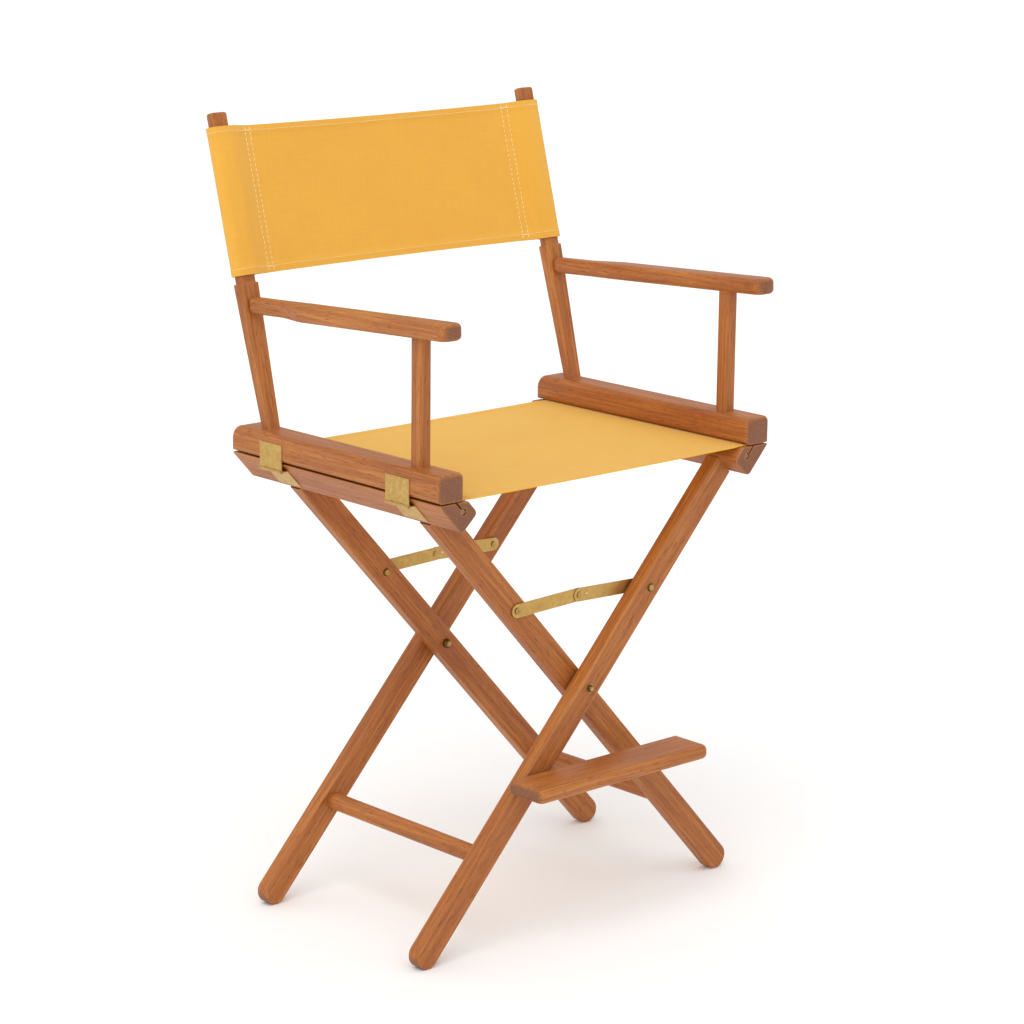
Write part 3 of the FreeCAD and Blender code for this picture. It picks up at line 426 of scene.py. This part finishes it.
def dip(x, v):
    """The top edge hangs and the bottom edge draws up by up to 1.6 mm at the middle."""
    return 0.0016 * max(0.0, 1 - (x / BACK_X) ** 2) * (v / BACK_TALL - 0.5) * 2


def back_point(x, up, out):
    return BACK_FOOT + Vector((x, 0, 0)) + UP * up + OUT * out


back_rows = with_hems(0.0, BACK_TALL, 0.006)
back_hems = (0.0, BACK_TALL)
panel = cut_cloth(
    "back_panel", steps(-BACK_X, BACK_X, 0.0048), back_rows,
    lambda x, v: back_point(x, v - dip(x, v), front_layer(x) + bulge(x, v)),
    back_cloth, hems=back_hems)
flaps = [cut_cloth(
    f"back_flap_{side}", steps(sign * SEAM, sign * BACK_X, 0.004), back_rows,
    lambda x, v: back_point(x, v - dip(x, v), rear_layer(x) + bulge(x, v)),
    back_cloth, hems=back_hems) for side, sign in SIDES]

# The sleeve's section, as (across, out) points: the front layer runs on over the post's face,
# squarely round its outer edge, and in behind it to the rear layer at the sleeve's mouth.
EDGE_X = POST_X - 0.004                 # where the cloth starts to turn round the post's edge
EDGE_REACH = 0.01885                    # how far past that it goes
SQUARE = 0.6                            # 1 would be a round turn; less is squarer
ROUND = [(x, front_layer(x)) for x in steps(BACK_X, EDGE_X - 0.001, 0.002)]
for degrees in range(-90, 91, 10):
    bend = math.radians(degrees)
    ROUND.append((EDGE_X + EDGE_REACH * max(0.0, math.cos(bend)) ** SQUARE,
                  math.copysign(DEEP * abs(math.sin(bend)) ** SQUARE, bend)))
ROUND += [(BACK_X + 0.0076, 0.0094), (BACK_X + 0.0050, 0.0082), (BACK_X + 0.0026, 0.0062),
          (BACK_X, rear_layer(BACK_X))]
ALONG = [0.0]
for one, two in zip(ROUND, ROUND[1:]):
    ALONG.append(ALONG[-1] + math.dist(one, two))
LOOP = ALONG[-1]


def sleeve_point(sign, u, v):
    """A point of a sleeve and its outward way, from the distance along its section."""
    spot = max(i for i in range(len(ALONG) - 1) if ALONG[i] <= u + 1e-9)
    (x0, y0), (x1, y1) = ROUND[spot], ROUND[spot + 1]
    share = (u - ALONG[spot]) / (ALONG[spot + 1] - ALONG[spot])
    way = Vector((y1 - y0, x0 - x1)).normalized()
    point = back_point(sign * (x0 + (x1 - x0) * share), v, y0 + (y1 - y0) * share)
    return point, Vector((sign * way.x, 0, 0)) + OUT * way.y


sleeves = [cut_cloth(
    f"back_sleeve_cloth_{side}", ALONG, back_rows,
    lambda u, v: sleeve_point(sign, u, v)[0],
    back_cloth, hems=back_hems) for side, sign in SIDES]


# ---- seat canvas ------------------------------------------------------------------------
def seat_sag(x, y):
    """The seat hangs up to 2.2 mm between the rails, least at its front and rear edges."""
    across = 1 - (x / HINGE_X) ** 2
    middle = 1 - ((y - sum(SEAT_Y) / 2) / ((SEAT_Y[1] - SEAT_Y[0]) / 2)) ** 2
    return 0.0022 * across * (0.35 + 0.65 * middle)


seat = cut_cloth(
    "seat_panel", steps(-HINGE_X, HINGE_X, 0.0074), with_hems(*SEAT_Y, 0.0074),
    lambda x, y: Vector((x, y, SEAT_Z - seat_sag(x, y))), seat_cloth, hems=SEAT_Y)

# Each seat hem's section, as (across, up) points: in under the upper rail, over the mouth of
# the sloping slot in the lower rail, down the slot, and round the dowel that locks it there.
dowel_low, dowel_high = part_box("seat_dowel_right")
DOWEL = Vector(((dowel_low[0] + dowel_high[0]) / 2, (dowel_low[2] + dowel_high[2]) / 2))
WRAP = 0.0037                           # the cloth's middle, from the dowel's
down_slot = Vector((math.cos(LEG), math.sin(LEG)))
over_slot = Vector((-math.sin(LEG), math.cos(LEG)))
mouth = DOWEL + down_slot * ((SEAT_Z - DOWEL.y) / math.sin(LEG))
TURN = [Vector((HINGE_X, SEAT_Z)), Vector((mouth.x - 0.0045, SEAT_Z)),
        Vector((mouth.x - 0.0010, SEAT_Z - 0.0006)),
        mouth - down_slot * 0.0045 - over_slot * 0.0002]
for degrees in range(62, -259, -40):
    bend = math.radians(degrees)
    TURN.append(DOWEL + (down_slot * math.cos(bend) + over_slot * math.sin(bend)) * WRAP)
DOWN = [0.0]
for one, two in zip(TURN, TURN[1:]):
    DOWN.append(DOWN[-1] + (two - one).length)


def hem_point(sign, u, v):
    spot = TURN[min(range(len(DOWN)), key=lambda i: abs(DOWN[i] - u))]
    return Vector((sign * spot.x, v, spot.y))


hems = [cut_cloth(
    f"seat_hem_cloth_{side}", DOWN, steps(*SEAT_Y, 0.02),
    lambda u, v: hem_point(sign, u, v), seat_cloth, thick=0.0011) for side, sign in SIDES]

# ---- stitching --------------------------------------------------------------------------
# Each kind of stitch: from one to the next, its length, and half its thickness.
HEM_STITCH = (0.0042, 0.0029, 0.00040)
SEAM_STITCH = (0.0062, 0.0043, 0.00050)
TACK_STITCH = (0.0011, 0.0013, 0.00062)
ON_TOP = 0.00012        # how far a stitch's middle lies off the cloth's face


def one_stitch(length, radius):
    """A stitch lying along Z: a short thread, plumper in the middle than where it dives in."""
    dive, plump = 0.8, 1.25
    mesh = bpy.data.meshes.new("stitch")
    bm = bmesh.new()
    bmesh.ops.create_cone(bm, cap_ends=True, segments=6, radius1=radius * dive,
                          radius2=radius * dive, depth=length)
    sides = [e for e in bm.edges if abs(e.verts[0].co.z - e.verts[1].co.z) > length / 2]
    bmesh.ops.subdivide_edges(bm, edges=sides, cuts=1)
    belly = [v for v in bm.verts if abs(v.co.z) < length / 4]
    bmesh.ops.scale(bm, vec=(plump, plump, 1), verts=belly)
    bm.to_mesh(mesh)
    bm.free()
    return mesh


def stitches(name, line, pitch, length, radius):
    """Short stitches laid along a line of (point on the cloth, outward way) pairs."""
    stitch = one_stitch(length, radius)
    bm = bmesh.new()
    along = [0.0]
    for (one, _), (two, _) in zip(line, line[1:]):
        along.append(along[-1] + (two - one).length)
    count = int(along[-1] / pitch)
    for k in range(count):
        middle = (k + 0.5) * along[-1] / count
        spot = max(i for i in range(len(line) - 1) if along[i] <= middle)
        share = (middle - along[spot]) / (along[spot + 1] - along[spot])
        run = (line[spot + 1][0] - line[spot][0]).normalized()
        place = line[spot][0].lerp(line[spot + 1][0], share)
        rise = line[spot][1].lerp(line[spot + 1][1], share)
        rise = (rise - run * rise.dot(run)).normalized()
        start = len(bm.verts)
        bm.from_mesh(stitch)
        bm.verts.ensure_lookup_table()
        laid = Matrix((rise.cross(run), rise, run)).transposed().to_4x4()
        bmesh.ops.transform(bm, matrix=Matrix.Translation(place) @ laid,
                            verts=bm.verts[start:])
    bpy.data.meshes.remove(stitch)
    mesh = bpy.data.meshes.new(name)
    bm.to_mesh(mesh)
    bm.free()
    mesh.polygons.foreach_set("use_smooth", [True] * len(mesh.polygons))
    mesh.materials.append(thread)
    return put_in(name, mesh)


def on_panel(x, v, face):
    """A point on the outer face of the back's cloth: face -1 is the front, 1 the rear."""
    layer = front_layer(x) if face < 0 or abs(x) < SEAM else rear_layer(x)
    thick = CLOTH * (FOLDED if min(v, BACK_TALL - v) < HEM else 1)
    out = layer + bulge(x, v) + face * (thick / 2 + ON_TOP)
    return back_point(x, v - dip(x, v), out), OUT * face


def on_sleeve(sign, u, v):
    """A point on the outer face of a sleeve's hem."""
    spot, way = sleeve_point(sign, u, v)
    return spot + way * (FOLDED * CLOTH / 2 + ON_TOP), way


HEM_LINES = (("low", 0.0078), ("high", BACK_TALL - 0.0066))
SEAM_LINES = (("inner", 0.2075), ("outer", 0.2160))
panel_seams, side_seams, sleeve_seams = [], [], []
for word, face in FACES:
    for edge, v in HEM_LINES:
        line = [on_panel(x, v, face) for x in steps(-BACK_X + 0.001, BACK_X - 0.001, 0.006)]
        panel_seams.append(stitches(f"hem_seam_{edge}_{word}", line, *HEM_STITCH))
for side, sign in SIDES:
    for order, x in SEAM_LINES:
        for word, face in FACES:
            line = [on_panel(sign * x, v, face) for v in
                    steps(0.0015, BACK_TALL - 0.0015, 0.006)]
            side_seams.append((side, stitches(f"seam_{order}_{side}_{word}", line,
                                              *SEAM_STITCH)))
    # Bar tacks lock each end of the double seam with a few close stitches across it.
    for edge, v in (("low", HEM_LINES[0][1] - 0.0004), ("high", HEM_LINES[1][1] + 0.0004)):
        line = [on_panel(sign * x, v, -1) for x in steps(0.2066, 0.2170, 0.002)]
        side_seams.append((side, stitches(f"bar_tack_{edge}_{side}", line, *TACK_STITCH)))
    for edge, v in HEM_LINES:
        line = [on_sleeve(sign, u, v) for u in steps(0.001, LOOP - 0.001, 0.0015)]
        sleeve_seams.append((side, stitches(f"sleeve_seam_{edge}_{side}", line,
                                            *HEM_STITCH)))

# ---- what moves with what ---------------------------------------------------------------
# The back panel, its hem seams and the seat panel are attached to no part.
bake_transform(panel)
for piece in panel_seams:
    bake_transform(piece)
for side, piece in side_seams:
    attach(piece, f"back_canvas_{side}")
for side, piece in sleeve_seams:
    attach(piece, f"side_frame_{side}")
for side, flap, sleeve, hem, rail in (
        ("left", flaps[0], sleeves[0], hems[0], "inner_frame"),
        ("right", flaps[1], sleeves[1], hems[1], "outer_frame")):
    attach(flap, f"back_canvas_{side}")
    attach(sleeve, f"side_frame_{side}")
    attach(hem, rail)
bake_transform(seat)
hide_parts("back_canvas_left", "back_canvas_right")
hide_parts("back_sleeve_left")
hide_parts("back_sleeve_right")
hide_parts("seat_canvas_left", "seat_canvas_right")
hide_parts("seat_hem_left")
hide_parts("seat_hem_right")

# ---- studio -----------------------------------------------------------------------------
# Paper, rolled out over the floor: matt and white.
paper, tree = new_material("matt_white_paper")
shader = node(tree, "ShaderNodeBsdfPrincipled", Base_Color=linear("#FFFFFF"), Roughness=0.9)
node(tree, "ShaderNodeOutputMaterial", Surface=shader.outputs[0])
bm = bmesh.new()
bmesh.ops.create_grid(bm, x_segments=1, y_segments=1, size=40)
floor_mesh = bpy.data.meshes.new("floor")
bm.to_mesh(floor_mesh)
bm.free()
floor_mesh.materials.append(paper)
floor = put_in("floor", floor_mesh)

world = bpy.data.worlds.new("studio")
bpy.context.scene.world = world
world.use_nodes = True
world.node_tree.nodes["Background"].inputs["Color"].default_value = (1, 1, 1, 1)
world.node_tree.nodes["Background"].inputs["Strength"].default_value = 0.82


def soft_sun(name, way, power, spread):
    """A far, broad light: it shines along way, and spread is how many degrees wide it looks."""
    light = bpy.data.lights.new(name, "SUN")
    light.energy = power
    light.angle = math.radians(spread)
    put_in(name, light).rotation_euler = Vector(way).to_track_quat("-Z", "Y").to_euler()


soft_sun("key", (0.70, 0.42, -1.0), 1.0, 50)
soft_sun("overhead", (-0.12, 0.10, -1.0), 0.2, 90)

# The camera stands at the chair's front left and a little above it, and looks down at it.
yaw, pitch, roll = math.radians(42.52), math.radians(-13.38), math.radians(0.64)
forward = Vector((math.sin(yaw) * math.cos(pitch), math.cos(yaw) * math.cos(pitch),
                  math.sin(pitch)))
level = Vector((math.cos(yaw), -math.sin(yaw), 0))
above = level.cross(forward)
right = level * math.cos(roll) + above * math.sin(roll)
upward = above * math.cos(roll) - level * math.sin(roll)
lens = bpy.data.cameras.new("camera")
lens.lens = 111.4
lens.sensor_width = 36
lens.clip_end = 50
camera = put_in("camera", lens)
camera.matrix_world = Matrix.Translation((-2.5899, -2.857127, 1.4070)) @ \
    Matrix((right, upward, -forward)).transposed().to_4x4()
bpy.context.scene.camera = camera
bpy.context.scene.view_settings.view_transform = "Standard"
